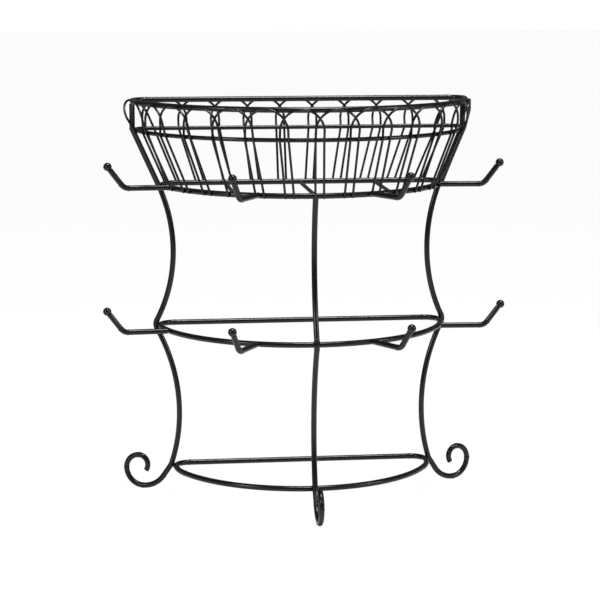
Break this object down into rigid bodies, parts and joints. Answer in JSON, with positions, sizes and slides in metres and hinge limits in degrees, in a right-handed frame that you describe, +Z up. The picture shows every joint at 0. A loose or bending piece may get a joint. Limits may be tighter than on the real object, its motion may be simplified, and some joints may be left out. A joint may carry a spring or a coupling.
{
  "type": "coffee station organizer",
  "caption": "Free-standing wire coffee station organizer: round-front pod basket over open tiers with ball-tipped mug hooks and scroll feet.",
  "frame": {"origin": "on the counter, under the middle of the whole footprint", "axes": "+Z up, front toward -Y, X across the width"},
  "size_m": [0.4372, 0.2264, 0.4352],
  "materials": {
    "black_powder_coat": "satin black powder coat"
  },
  "bodies": {
    "root": {"basket_rim": "black_powder_coat", "basket_middle_ring": "black_powder_coat", "basket_bottom_ring": "black_powder_coat", "tier_ring": "black_powder_coat", "base_ring": "black_powder_coat", "upright_left": "black_powder_coat", "upright_right": "black_powder_coat", "upright_front": "black_powder_coat", "floor_wire_left": "black_powder_coat", "floor_wire_middle": "black_powder_coat", "floor_wire_right": "black_powder_coat", "hook_upper_front_left": "black_powder_coat", "hook_upper_front_right": "black_powder_coat", "hook_upper_side_left": "black_powder_coat", "hook_upper_side_right": "black_powder_coat", "hook_lower_front_left": "black_powder_coat", "hook_lower_front_right": "black_powder_coat", "hook_lower_side_left": "black_powder_coat", "hook_lower_side_right": "black_powder_coat", "ball_tip_upper_front_left": "black_powder_coat", "ball_tip_upper_front_right": "black_powder_coat", "ball_tip_upper_side_left": "black_powder_coat", "ball_tip_upper_side_right": "black_powder_coat", "ball_tip_lower_front_left": "black_powder_coat", "ball_tip_lower_front_right": "black_powder_coat", "ball_tip_lower_side_left": "black_powder_coat", "ball_tip_lower_side_right": "black_powder_coat", "basket_arch_01": "black_powder_coat", "basket_arch_02": "black_powder_coat", "basket_arch_03": "black_powder_coat", "basket_arch_04": "black_powder_coat", "basket_arch_05": "black_powder_coat", "basket_arch_06": "black_powder_coat", "basket_arch_07": "black_powder_coat", "basket_arch_08": "black_powder_coat", "basket_arch_09": "black_powder_coat", "basket_arch_10": "black_powder_coat", "basket_arch_11": "black_powder_coat", "basket_arch_12": "black_powder_coat", "basket_arch_13": "black_powder_coat", "basket_arch_14": "black_powder_coat", "basket_arch_15": "black_powder_coat", "basket_arch_16": "black_powder_coat", "basket_arch_17": "black_powder_coat", "basket_arch_18": "black_powder_coat", "basket_arch_19": "black_powder_coat", "basket_arch_20": "black_powder_coat", "basket_arch_21": "black_powder_coat", "basket_arch_22": "black_powder_coat", "basket_arch_23": "black_powder_coat", "basket_arch_24": "black_powder_coat", "basket_arch_25": "black_powder_coat"}
  },
  "joints": []
}
